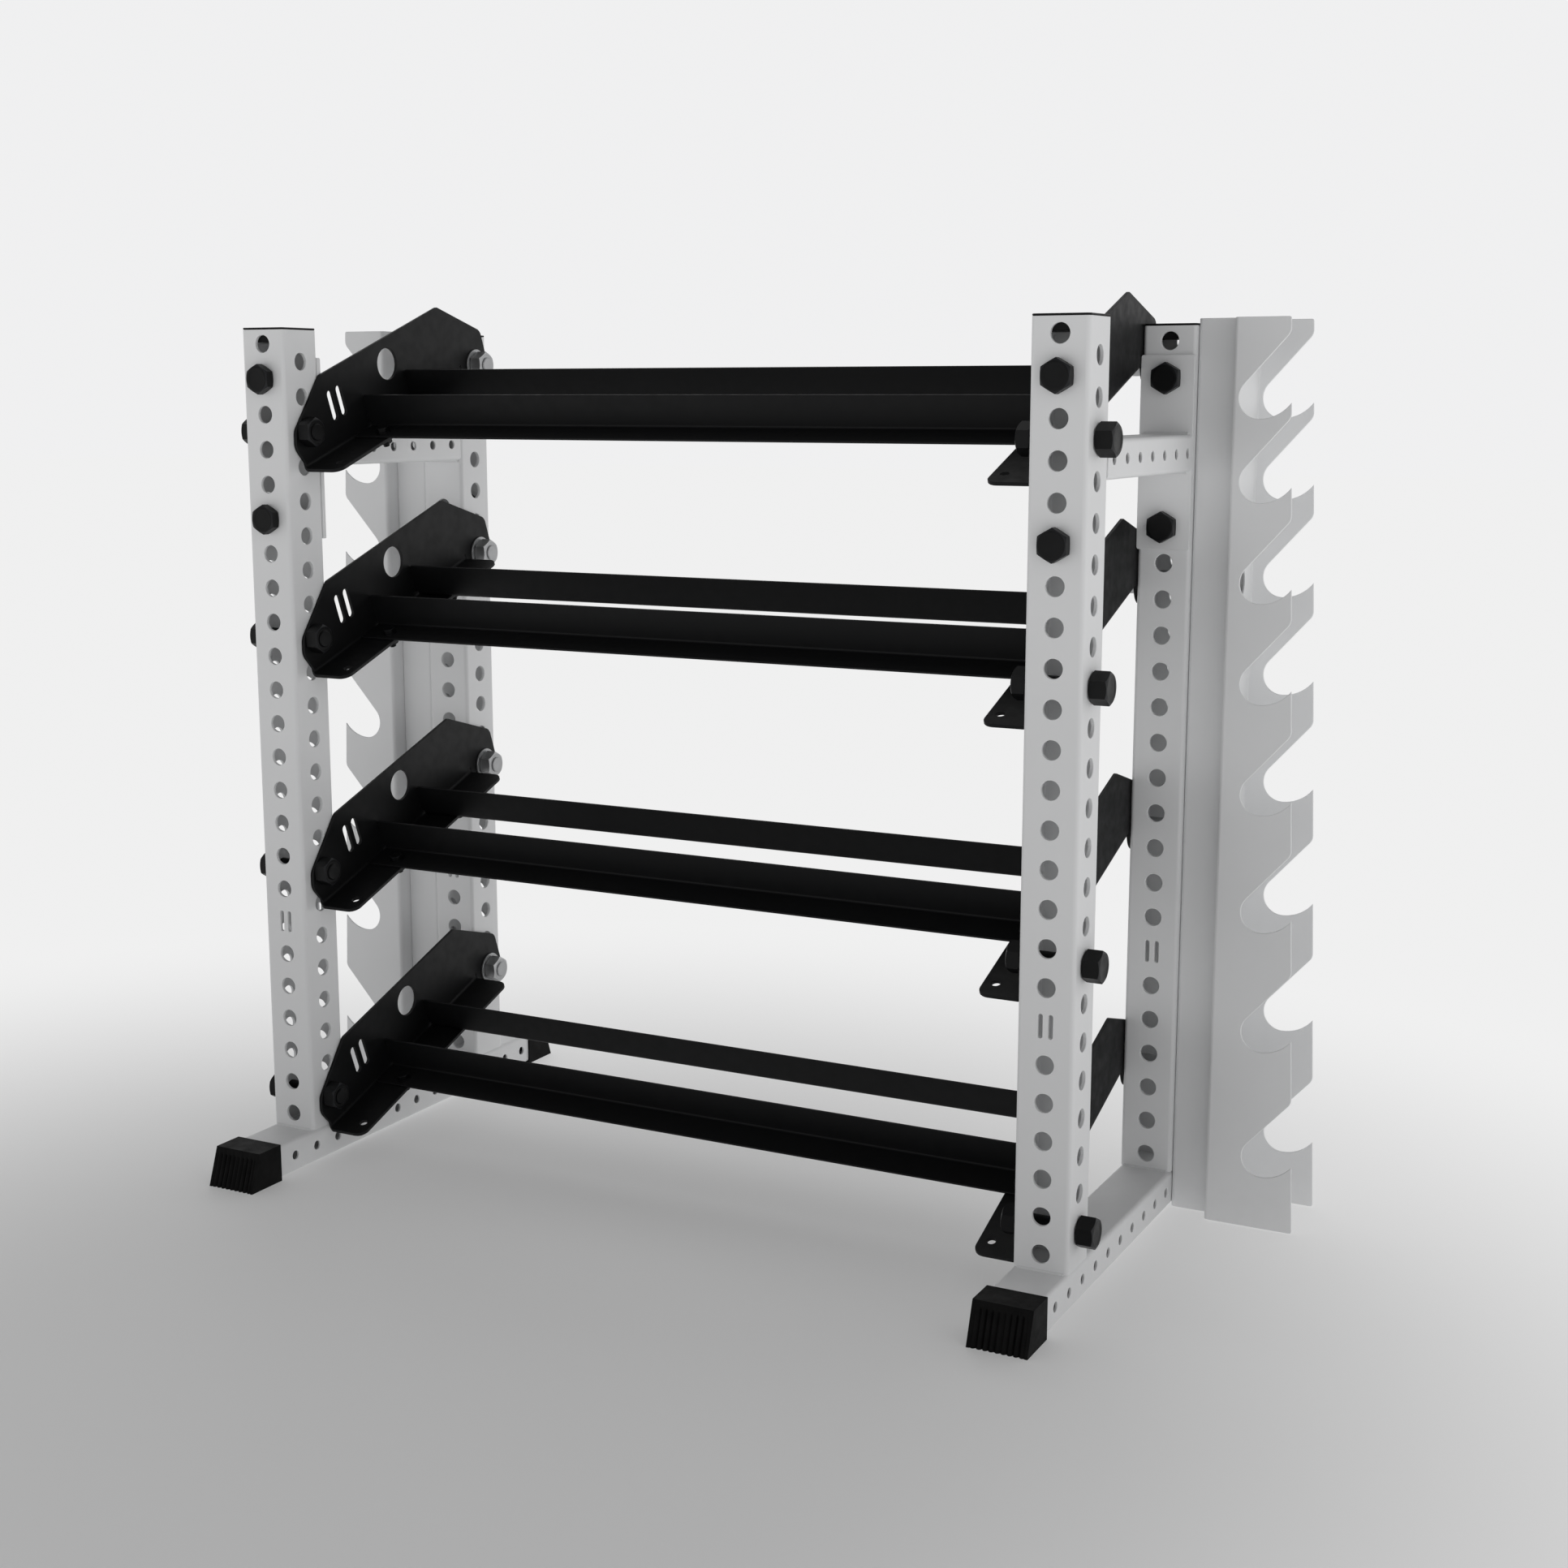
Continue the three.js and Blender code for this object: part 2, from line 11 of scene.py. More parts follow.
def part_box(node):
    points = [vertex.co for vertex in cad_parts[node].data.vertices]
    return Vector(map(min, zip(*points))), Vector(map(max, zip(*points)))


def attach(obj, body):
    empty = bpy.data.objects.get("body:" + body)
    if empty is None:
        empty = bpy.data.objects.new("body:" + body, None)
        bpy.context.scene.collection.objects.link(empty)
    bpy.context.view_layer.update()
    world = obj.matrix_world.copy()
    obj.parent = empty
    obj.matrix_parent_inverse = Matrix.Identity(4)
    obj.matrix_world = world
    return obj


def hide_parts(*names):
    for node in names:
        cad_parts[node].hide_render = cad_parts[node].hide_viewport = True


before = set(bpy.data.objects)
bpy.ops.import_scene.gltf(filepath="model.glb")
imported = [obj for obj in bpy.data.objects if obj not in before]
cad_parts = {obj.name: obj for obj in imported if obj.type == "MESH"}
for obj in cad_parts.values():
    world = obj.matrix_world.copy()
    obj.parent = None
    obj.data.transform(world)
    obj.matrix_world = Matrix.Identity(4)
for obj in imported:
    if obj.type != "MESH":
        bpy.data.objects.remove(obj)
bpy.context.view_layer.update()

# Sizes that the frame doesn't give.
PITCH = 0.0508  # between the holes of an upright
HOLE = 0.0127  # radius
TOP_FRONT_HOLE = 1.2453
TOP_SIDE_HOLE = 1.2199
FRONT_HOLES = 24
SIDE_HOLES = 23
SLOT_ROW = 17  # this place in the front and rear faces holds two slots instead of a hole
BEAM_ROWS = (2, 3, 4)  # between the two frame bolts
UPRIGHT_SLOTS = {"across": (-0.007, 0.007), "width": 0.0065, "length": 0.032}
TUBE_WALL = 0.0048
TUBE_CORNER = 0.006
THIN_WALL = 0.0032
SMALL_HOLE = 0.007  # radius, along the base tubes and the crossmembers
BASE_FIRST_HOLE = -0.2966  # nearest the front, along Y
BASE_HOLES = 13
CROSS_HOLES = 7

SLOPE = math.radians(20.3)
BRACKET = {"thickness": 0.005, "bend": 0.004, "bottom": -0.0525, "flange": 0.070}
FLANGE_ENDS = (-0.026, 0.398)  # along the slope from the front bolt
BEND_RELIEF = 0.003
REAR_RISE = 2 * PITCH  # the rear shelf bolt is this far above the front one
LIGHTENING_HOLE = (0.221, 0.026, 0.024)
BRACKET_SLOTS = {"along": (0.073, 0.095), "up": 0.014, "width": 0.012, "length": 0.046}
TIE_HOLE = {"along": 0.002, "inset": 0.018, "radius": 0.006}
RAIL = {"thickness": 0.003, "bend": 0.003, "leg": 0.050, "bottom": -0.0472, "top": 0.0038}
FRONT_LIP = 0.147  # outer face of the front rail's standing leg, along the slope
REAR_LIP = 0.255
RAIL_BOLT = {"x": 0.525, "behind_lip": 0.032, "flats": 0.017, "hole": 0.0055}
RAIL_BOLTS_ALONG = (FRONT_LIP - RAIL_BOLT["behind_lip"], REAR_LIP + RAIL_BOLT["behind_lip"])
CLEARANCE = 0.0002  # between pieces that bear on each other

SHEET = {"thickness": 0.003, "bend": 0.003}
TOP_REACH = 0.0765  # of the notched sides, at the top
BOTTOM_REACH = 0.1275
NOTCH_TIPS = (0.099, 0.282, 0.454, 0.620, 0.774, 0.9125, 1.049, 1.1615)
NOTCH_SEAT = 0.028  # radius
NOTCH_FLOOR = 0.055  # radius
NOTCH_INSET = 0.0437
NOTCH_ROOF = math.radians(48)
NOTCH_CORNER = 0.015
ACCESS_HOLE = 0.026  # radius

HEX_FLATS = 0.0381
SHANK = 0.0123  # radius
WASHER = 0.0255  # radius, under the nuts of the rear shelf bolts
WASHER_HEIGHT = 0.003
THREAD_PITCH = 0.0032
THREAD_BELOW_GRIP = 0.012  # how far the thread runs down past the nut
SHELF_BOLT = {"head": 0.025, "nut": 0.022}
FRAME_BOLT = {"head": 0.016, "nut": 0.016, "plated_nut": 0.022}  # a plate needs the larger nut
EASE = 0.0006  # how far a cut edge is rounded off
EDGE = 1  # material index of the eased edges

CAP_LID = 0.0027  # thickness
BEAM_HEIGHT = 0.0508
BEAM_PLATE = 0.0064  # thickness

BOOT_RIBS = 9
BOOT_RIB_DEPTH = 0.0040


# Materials.
def material(name, colour, roughness, metallic=0.0, gloss=0.5, grain=(900, 0.12), mottle=0.05, dust=0.0):
    """A coat with a fine grain, a slow drift of tone and gloss, and dust that gathers near the floor."""
    made = bpy.data.materials.new(name)
    made.use_nodes = True
    nodes, links = made.node_tree.nodes, made.node_tree.links
    shader = nodes["Principled BSDF"]
    shader.inputs["Metallic"].default_value = metallic
    shader.inputs["Specular IOR Level"].default_value = gloss
    place = nodes.new("ShaderNodeTexCoord")

    def noise(scale, detail):
        node = nodes.new("ShaderNodeTexNoise")
        node.inputs["Scale"].default_value = scale
        node.inputs["Detail"].default_value = detail
        links.new(place.outputs["Object"], node.inputs["Vector"])
        return node.outputs["Fac"]

    def spread(factor, low, high):
        node = nodes.new("ShaderNodeMapRange")
        node.inputs["From Min"].default_value = 0.3
        node.inputs["From Max"].default_value = 0.7
        node.inputs["To Min"].default_value = low
        node.inputs["To Max"].default_value = high
        links.new(factor, node.inputs["Value"])
        return node.outputs["Result"]

    def blend(factor, first, second):
        node = nodes.new("ShaderNodeMix")
        node.data_type = "RGBA"
        links.new(factor, node.inputs["Factor"])
        for end, value in ((6, first), (7, second)):
            if isinstance(value, tuple):
                node.inputs[end].default_value = (*value, 1)
            else:
                links.new(value, node.inputs[end])
        return node.outputs[2]

    darker = tuple(c * (1 - 2 * mottle) for c in colour)
    tone = blend(spread(noise(7, 4), 0, 1), colour, darker)
    if dust:
        split = nodes.new("ShaderNodeSeparateXYZ")
        links.new(place.outputs["Object"], split.inputs["Vector"])
        fade = nodes.new("ShaderNodeMapRange")
        fade.inputs["From Min"].default_value = 0.16
        fade.inputs["From Max"].default_value = 0.0
        fade.inputs["To Max"].default_value = dust
        links.new(split.outputs["Z"], fade.inputs["Value"])
        patch = nodes.new("ShaderNodeMath")
        patch.operation = "MULTIPLY"
        links.new(fade.outputs["Result"], patch.inputs[0])
        links.new(spread(noise(45, 5), 0.2, 1), patch.inputs[1])
        tone = blend(patch.outputs["Value"], tone, (0.30, 0.29, 0.28))
    links.new(tone, shader.inputs["Base Color"])
    links.new(spread(noise(60, 3), roughness - 0.06, roughness + 0.07), shader.inputs["Roughness"])
    scale, strength = grain
    bump = nodes.new("ShaderNodeBump")
    bump.inputs["Strength"].default_value = strength
    bump.inputs["Distance"].default_value = 0.0004
    links.new(noise(scale, 2), bump.inputs["Height"])
    links.new(bump.outputs["Normal"], shader.inputs["Normal"])
    return made


def coat(name, colour, edge_highlight_colour, roughness, edge_roughness, **more):
    """The material of a piece's faces and that of its eased edges, which is glossier and lighter in colour:
    the lighter colour is a painted highlight.
    """
    face = material(name, colour, roughness, **more)
    edge = material(name + "_edge", edge_highlight_colour, edge_roughness, **more)
    return face, edge


# The second colour of each coat, the lighter one, is a painted highlight on the eased edges.
WHITE = coat(
    "white_powder_coat", (0.87, 0.875, 0.88), (0.89, 0.895, 0.90), 0.50, 0.42,
    mottle=0.012, dust=0.05,
)
BLACK = coat(
    "black_powder_coat", (0.0070, 0.0072, 0.0077), (0.015, 0.0155, 0.0165), 0.48, 0.40,
    gloss=0.20, grain=(1300, 0.05), mottle=0.06, dust=0.012,
)
STEEL = coat(
    "black_oxide", (0.004, 0.0042, 0.0046), (0.022, 0.023, 0.025), 0.42, 0.34,
    metallic=0.1, gloss=0.2, grain=(1400, 0.06), mottle=0.10,
)
ZINC = coat(
    "zinc_plate", (0.42, 0.425, 0.43), (0.52, 0.525, 0.53), 0.42, 0.34,
    metallic=0.8, grain=(1400, 0.08), mottle=0.06,
)
PLASTIC = coat(
    "moulded_plastic", (0.003, 0.003, 0.0032), (0.006, 0.006, 0.0063), 0.50, 0.42,
    gloss=0.15, grain=(1800, 0.12),
)
RUBBER = coat(
    "moulded_rubber", (0.0022, 0.0022, 0.0023), (0.005, 0.005, 0.0052), 0.62, 0.55,
    gloss=0.10, grain=(1100, 0.20), mottle=0.10, dust=0.02,
)


# Outlines, as lists of (x, y) that run anticlockwise.
def circle(x, y, radius, sides=32):
    angles = [2 * math.pi * i / sides for i in range(sides)]
    return [(x + radius * math.cos(a), y + radius * math.sin(a)) for a in angles]


def upright_slot(x, y, width, length, steps=8):
    radius = width / 2
    reach = length / 2 - radius
    points = []
    for start, rise in ((0, reach), (math.pi, -reach)):
        for step in range(steps + 1):
            angle = start + math.pi * step / steps
            points.append((x + radius * math.cos(angle), y + rise + radius * math.sin(angle)))
    return points


def rounded(corners, steps=6):
    """The outline through corners (x, y, radius)."""
    points = []
    for i, (x, y, radius) in enumerate(corners):
        if not radius:
            points.append((x, y))
            continue
        corner = Vector((x, y))
        back = (Vector(corners[i - 1][:2]) - corner).normalized()
        on = (Vector(corners[(i + 1) % len(corners)][:2]) - corner).normalized()
        half = math.acos(max(-1.0, min(1.0, back.dot(on)))) / 2
        centre = corner + (back + on).normalized() * radius / math.sin(half)
        start = corner + back * radius / math.tan(half) - centre
        end = corner + on * radius / math.tan(half) - centre
        turn = math.atan2(start.cross(end), start.dot(end))
        for step in range(steps + 1):
            angle = turn * step / steps
            arm = Matrix.Rotation(angle, 2) @ start
            points.append(tuple(centre + arm))
    return points


def rectangle(x, y, radius=0.0, steps=6):
    """A rectangle over x = (low, high) and y = (low, high)."""
    corners = [(x[0], y[0], radius), (x[1], y[0], radius), (x[1], y[1], radius), (x[0], y[1], radius)]
    return rounded(corners, steps)


def offset(points, distance):
    """The outline moved inwards by distance."""
    moved = []
    for i, point in enumerate(points):
        here = Vector(point)
        before = (here - Vector(points[i - 1])).normalized()
        after = (Vector(points[(i + 1) % len(points)]) - here).normalized()
        first, second = Vector((-before.y, before.x)), Vector((-after.y, after.x))
        share = max(1 + first.dot(second), 0.35)
        moved.append(tuple(here + (first + second) * distance / share))
    return moved


# Solids, each a bmesh in its own frame.
def ring_faces(bm, lower, upper, index=0):
    for i, corner in enumerate(lower):
        j = (i + 1) % len(lower)
        bm.faces.new((corner, lower[j], upper[j], upper[i])).material_index = index


def cap_faces(bm, rings):
    flat = [v for ring in rings for v in ring]
    for corners in tessellate_polygon([[v.co for v in ring] for ring in rings]):
        bm.faces.new([flat[c] for c in corners])


def sheet(outline, holes, thickness, ease=EASE):
    """A flat sheet between z = 0 and thickness, with its cut edges eased."""
    bm = bmesh.new()
    bottoms, tops = [], []
    for points, side in [(outline, 1)] + [(hole, -1) for hole in holes]:
        eased = offset(points, side * ease)
        levels = [(eased, 0), (points, ease), (points, thickness - ease), (eased, thickness)]
        rings = [[bm.verts.new((x, y, z)) for x, y in ring] for ring, z in levels]
        for index, lower, upper in zip((EDGE, 0, EDGE), rings, rings[1:]):
            ring_faces(bm, lower, upper, index)
        bottoms.append(rings[0])
        tops.append(rings[-1])
    cap_faces(bm, bottoms)
    cap_faces(bm, tops)
    bmesh.ops.recalc_face_normals(bm, faces=bm.faces)
    return bm


def fold(bm, at, towards, bend, thickness, until=math.inf, steps=6):
    """Folds what lies past y = at, on the side that towards gives, by a right angle towards -z."""
    neutral = bend + thickness / 2
    run = neutral * math.pi / 2
    for step in range(steps + 1):
        everything = bm.verts[:] + bm.edges[:] + bm.faces[:]
        line = (0, at + towards * run * step / steps, 0)
        bmesh.ops.bisect_plane(bm, geom=everything, dist=1e-7, plane_co=line, plane_no=(0, 1, 0))
    for vertex in bm.verts:
        past = towards * (vertex.co.y - at)
        if past <= 0 or vertex.co.x > until:
            continue
        angle = min(past / neutral, math.pi / 2)
        radius = bend + vertex.co.z
        vertex.co.y = at + towards * radius * math.sin(angle)
        vertex.co.z = radius * math.cos(angle) - bend - max(past - run, 0)
    return bm


def flat_reach(reach, bend, thickness):
    """How far a leg goes past its fold line in the flat. reach is from its sheet's outer face to its tip."""
    return (bend + thickness / 2) * math.pi / 2 + reach - bend - thickness


def tube(width, depth, length, wall, holes, ease=EASE):
    """A square tube along z with rounded corners. holes gives the outlines, as (across, along), cut in its
    four sides: -y, +x, +y and -x."""
    bm = bmesh.new()
    steps = 5
    inner_corner = TUBE_CORNER - wall + 0.001
    for side in range(4):
        across, reach = (width, depth) if side % 2 == 0 else (depth, width)
        turn = Matrix.Rotation(side * math.pi / 2, 4, "Z")

        def ring(points, sunk):
            return [bm.verts.new(turn @ Vector((a, sunk - reach / 2, z))) for a, z in points]

        flat = across / 2 - TUBE_CORNER
        skin = [ring(rectangle((-flat, flat), (0, length)), 0)]
        flat = across / 2 - wall - inner_corner
        lining = [ring(rectangle((-flat, flat), (0, length)), wall)]
        for hole in holes[side]:
            rings = [ring(offset(hole, -ease), 0), ring(hole, ease), ring(hole, wall)]
            ring_faces(bm, rings[0], rings[1], EDGE)
            ring_faces(bm, rings[1], rings[2])
            skin.append(rings[0])
            lining.append(rings[2])
        cap_faces(bm, skin)
        cap_faces(bm, lining)

        arcs = []
        for inset, corner in ((0, TUBE_CORNER), (wall, inner_corner)):
            centre = Vector((across / 2 - inset - corner, inset + corner - reach / 2, 0))
            angles = [math.pi / 2 * (step / steps - 1) for step in range(steps + 1)]
            arcs.append([centre + corner * Vector((math.cos(a), math.sin(a), 0)) for a in angles])
        ends = [Vector((0, 0, z)) for z in (0, length)]
        columns = [[[bm.verts.new(turn @ (p + end)) for p in arc] for end in ends] for arc in arcs]
        for low, high in columns:
            for i in range(steps):
                bm.faces.new((low[i], low[i + 1], high[i + 1], high[i]))
        for outer, inner in zip(*columns):
            for i in range(steps):
                bm.faces.new((outer[i], outer[i + 1], inner[i + 1], inner[i]))
        for z in (0, length):
            inner_flat = across / 2 - wall - inner_corner
            outer_flat = across / 2 - TUBE_CORNER
            rim = [(-outer_flat, 0), (outer_flat, 0), (inner_flat, wall), (-inner_flat, wall)]
            bm.faces.new([bm.verts.new(turn @ Vector((a, sunk - reach / 2, z))) for a, sunk in rim])
    bmesh.ops.remove_doubles(bm, verts=bm.verts, dist=1e-6)
    bmesh.ops.recalc_face_normals(bm, faces=bm.faces)
    return bm


def turned(rings, sides=48, indexes=()):
    """A solid of rings round z, each a function of the angle that gives (radius, z), closed at both ends."""
    bm = bmesh.new()
    angles = [2 * math.pi * i / sides for i in range(sides)]
    loops = []
    for ring in rings:
        places = [(a, *ring(a)) for a in angles]
        loops.append([bm.verts.new((r * math.cos(a), r * math.sin(a), z)) for a, r, z in places])
    for i, (lower, upper) in enumerate(zip(loops, loops[1:])):
        ring_faces(bm, lower, upper, EDGE if i in indexes else 0)
    for loop in (loops[0], loops[-1]):
        bm.faces.new(loop)
    bmesh.ops.recalc_face_normals(bm, faces=bm.faces)
    return bm


def hexagon(flats, low, high, low_eased=True, high_eased=True, dish=0.0005):
    """A hexagon between two heights, a corner at +x, with the cone-cut corners of a forged bolt."""
    plain = 0.475 * flats
    cone = math.tan(math.radians(30))

    def reach(angle):
        return flats / 2 / math.cos(angle % (math.pi / 3) - math.pi / 6)

    def flat(radius, z):
        return lambda angle: (radius, z)

    def side(z, towards, eased):
        return lambda angle: (reach(angle), z + towards * (reach(angle) - plain) * cone * eased)

    rings = [
        flat(plain * 0.72, low + dish),
        flat(plain * 0.76, low),
        flat(plain, low),
        side(low, 1, low_eased),
        side(high, -1, high_eased),
        flat(plain, high),
        flat(plain * 0.76, high),
        flat(plain * 0.72, high - dish),
    ]
    return turned(rings, indexes=(2, 4))


def rod(radius, low, high, thread_from=math.inf, pitch=THREAD_PITCH):
    """A shank, with the ridges of a thread from a given height on."""
    profile = [(radius * 0.94, low), (radius, low + radius * 0.06)]
    z = thread_from
    while z + pitch < high - radius * 0.1:
        profile += [(radius, z), (radius * 0.93, z + pitch / 2), (radius, z + pitch)]
        z += pitch
    profile += [(radius, high - radius * 0.1), (radius * 0.9, high)]
    return turned([lambda angle, place=place: place for place in profile])


def weld(start, end, up, out, size=0.0035):
    """A fillet weld from start to end, in the corner between the directions up and out."""
    bm = bmesh.new()
    start, end, up, out = Vector(start), Vector(end), Vector(up), Vector(out)
    count = max(4, round((end - start).length / 0.0015))
    loops = []
    for i in range(count + 1):
        middle = start.lerp(end, i / count)
        ripple = size * (1 + 0.08 * math.sin(i * math.pi / 1.5))
        arc = [middle - (up + out) * 0.0004]
        for step in range(5):
            share = step / 4
            swell = 1 + 0.25 * math.sin(math.pi * share)
            arc.append(middle + (up * (1 - share) + out * share) * ripple * swell)
        loops.append([bm.verts.new(p) for p in arc])
    for lower, upper in zip(loops, loops[1:]):
        ring_faces(bm, lower, upper)
    bm.faces.new(loops[0])
    bm.faces.new(loops[-1])
    bmesh.ops.recalc_face_normals(bm, faces=bm.faces)
    return bm


# Placing solids in the frame.
def axes(x, y, z, origin):
    """The matrix that takes a solid's own axes to these directions, at this origin."""
    columns = [Vector(v) for v in (x, y, z)]
    return Matrix.Translation(Vector(origin)) @ Matrix(columns).transposed().to_4x4()


def placed(bm, matrix):
    bmesh.ops.transform(bm, matrix=matrix, verts=bm.verts)
    if matrix.determinant() < 0:
        bmesh.ops.reverse_faces(bm, faces=bm.faces)
    return bm


def mirror_x(hand):
    return Matrix.Scale(hand, 4, (1, 0, 0))


def piece(name, solids, finish, slot, *nodes):
    """Joins solids into one object with a finish, that rides on the rack and may stand for CAD nodes."""
    mesh = bpy.data.meshes.new(name)
    whole = bmesh.new()
    for bm in solids:
        part = bpy.data.meshes.new("part")
        bm.to_mesh(part)
        whole.from_mesh(part)
        bpy.data.meshes.remove(part)
        bm.free()
    whole.to_mesh(mesh)
    whole.free()
    for each in finish:
        mesh.materials.append(each)
    mesh.shade_smooth()
    mesh.set_sharp_from_angle(angle=math.radians(38))
    made = bpy.data.objects.new(name, mesh)
    bpy.context.scene.collection.objects.link(made)
    soften = made.modifiers.new("weighted normals", "WEIGHTED_NORMAL")
    soften.keep_sharp = True
    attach(made, "root")
    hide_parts(*nodes)
    return made


HANDS = (("left", -1), ("right", 1))
ROWS = (("front", -1), ("rear", 1))


# Side frames.
def upright(low, high, plain_face):
    """An upright with its hole pattern. The wall plain_face (-1 front, +1 rear, 0 none) is left whole where
    the beam meets it."""
    size = high - low
    faces = {-1: [], 1: []}
    for row in range(FRONT_HOLES):
        z = TOP_FRONT_HOLE - row * PITCH - low.z
        for face, holes in faces.items():
            if row == SLOT_ROW:
                shape = UPRIGHT_SLOTS["width"], UPRIGHT_SLOTS["length"]
                holes += [upright_slot(x, z, *shape) for x in UPRIGHT_SLOTS["across"]]
            elif face != plain_face or row not in BEAM_ROWS:
                holes.append(circle(0, z, HOLE))
    sides = [circle(0, TOP_SIDE_HOLE - row * PITCH - low.z, HOLE) for row in range(SIDE_HOLES)]
    made = tube(size.x, size.y, size.z, TUBE_WALL, [faces[-1], sides, faces[1], sides])
    middle = (low + high) / 2
    return placed(made, Matrix.Translation((middle.x, middle.y, low.z)))


def foot_welds(low, high):
    """The beads where an upright stands on its base tube."""
    beads = []
    for y, out in ((low.y, -1), (high.y, 1)):
        inset = TUBE_CORNER
        ends = [(x, y, low.z) for x in (low.x + inset, high.x - inset)]
        beads.append(weld(*ends, (0, 0, 1), (0, out, 0), 0.0025))
    return beads


def cap(low, high):
    """The lid on an upright's end, and the plug under it."""
    size = high - low
    middle = (low + high) / 2
    half = size.x / 2
    lid = sheet(rectangle((-half, half), (-half, half), TUBE_CORNER), [], CAP_LID, 0.0007)
    inside = half - TUBE_WALL - 2 * CLEARANCE
    plug = sheet(rectangle((-inside, inside), (-inside, inside), 0.003), [], size.z - CAP_LID, 0.001)
    at = Vector((middle.x, middle.y, 0))
    placed(lid, Matrix.Translation(at + Vector((0, 0, high.z - CAP_LID))))
    placed(plug, Matrix.Translation(at + Vector((0, 0, low.z))))
    return [lid, plug]


def lying_tube(low, high, wall, hole_places):
    """A tube along Y with small holes in its two sides, at these places along Y."""
    size = high - low
    holes = [circle(0, y - low.y, SMALL_HOLE, 24) for y in hole_places]
    made = tube(size.x, size.z, size.y, wall, [[], holes, [], holes])
    middle = (low + high) / 2
    return placed(made, axes((1, 0, 0), (0, 0, -1), (0, 1, 0), (middle.x, low.y, middle.z)))


def boot(low, high, tube_low, tube_high, row):
    """A ribbed rubber boot on the end of a base tube, made for the front end and turned for the rear one."""
    slant = 0.020
    half = (high.x - low.x) / 2
    middle = (low.x + high.x) / 2
    depth = high.y - low.y
    height = high.z - low.z
    columns = BOOT_RIBS * 8
    rib_top = height * 0.86
    levels = (0, 0.004, 0.015, 0.03, rib_top - 0.004, rib_top, height)
    bm = bmesh.new()

    def front(x, z):
        share = (x + half) / (2 * half)
        margin = 0.05
        inside = min(1, max(0, (share - margin) / 0.02), max(0, (1 - margin - share) / 0.02))
        groove = abs(math.sin(math.pi * BOOT_RIBS * (share - margin) / (1 - 2 * margin))) ** 0.7
        fade = min(1, max(0, (rib_top - z) / 0.004))
        return -depth + slant * z / height + BOOT_RIB_DEPTH * (1 - groove) * inside * fade

    def grid(points):
        rows = [[bm.verts.new(p) for p in row] for row in points]
        for lower, upper in zip(rows, rows[1:]):
            for i in range(len(lower) - 1):
                bm.faces.new((lower[i], lower[i + 1], upper[i + 1], upper[i]))

    across = [half * (2 * i / columns - 1) for i in range(columns + 1)]
    grid([[(x, front(x, z), z) for x in across] for z in levels])
    grid([[(x, y if y == 0 else front(x, height), height) for x in across] for y in (-1, 0)])
    grid([[(x, y if y == 0 else front(x, 0), 0) for x in across] for y in (-1, 0)])
    for x in (-half, half):
        grid([[(x, front(x, z), z), (x, 0, z)] for z in levels])
    wall_x = (tube_high.x - tube_low.x) / 2 + CLEARANCE
    wall_z = (tube_low.z - low.z - CLEARANCE, tube_high.z - low.z + CLEARANCE)
    cover = tube_low.y - low.y if row < 0 else high.y - tube_high.y
    pocket = cover - depth - CLEARANCE
    mouth = rectangle((-wall_x, wall_x), wall_z)
    rings = [[bm.verts.new((x, y, z)) for x, z in mouth] for y in (0, pocket)]
    ring_faces(bm, *rings)
    bm.faces.new(rings[1])
    outer = [(x, 0) for x in across] + [(half, z) for z in levels[1:]]
    outer += [(x, height) for x in reversed(across[:-1])] + [(-half, z) for z in reversed(levels[1:-1])]
    cap_faces(bm, [[bm.verts.new((x, 0, z)) for x, z in outer], rings[0]])
    bmesh.ops.remove_doubles(bm, verts=bm.verts, dist=1e-6)
    bmesh.ops.recalc_face_normals(bm, faces=bm.faces)
    if row > 0:
        placed(bm, Matrix.Scale(-1, 4, (0, 1, 0)))
    return placed(bm, Matrix.Translation((middle, low.y if row > 0 else high.y, low.z)))


def washer(radius, bore, low, high):
    """A flat washer between two heights, with its rims eased."""
    ease = 0.15 * (high - low)
    bm = sheet(circle(0, 0, radius, 48), [circle(0, 0, bore, 48)], high - low, ease)
    return placed(bm, Matrix.Translation((0, 0, low)))


def hex_bolt(head, grip, nut, matrix, washer_height=0.0):
    """A bolt along z: its head below 0, its nut above grip, on a washer if that has a height."""
    seat = grip + washer_height
    solids = [
        hexagon(HEX_FLATS, -head, -0.0003),
        rod(SHANK, -0.002, seat + nut, thread_from=grip - THREAD_BELOW_GRIP),
        hexagon(HEX_FLATS, seat + 0.0001, seat + nut - 0.002),
    ]
    if washer_height:
        solids.append(washer(WASHER, SHANK + 0.0006, grip + 0.0001, seat))
    return [placed(bm, matrix) for bm in solids]


def frame_bolt(low, high, plated, head_side):
    """A bolt along Y between two corners, its head to the front (-1) or the rear (+1)."""
    head = FRAME_BOLT["head"]
    nut = FRAME_BOLT["plated_nut" if plated else "nut"]
    middle = (low + high) / 2
    bearing = low.y + head if head_side < 0 else high.y - head
    matrix = axes((0, 0, 1), (-head_side, 0, 0), (0, -head_side, 0), (middle.x, bearing, middle.z))
    return hex_bolt(head, high.y - low.y - head - nut, nut, matrix)


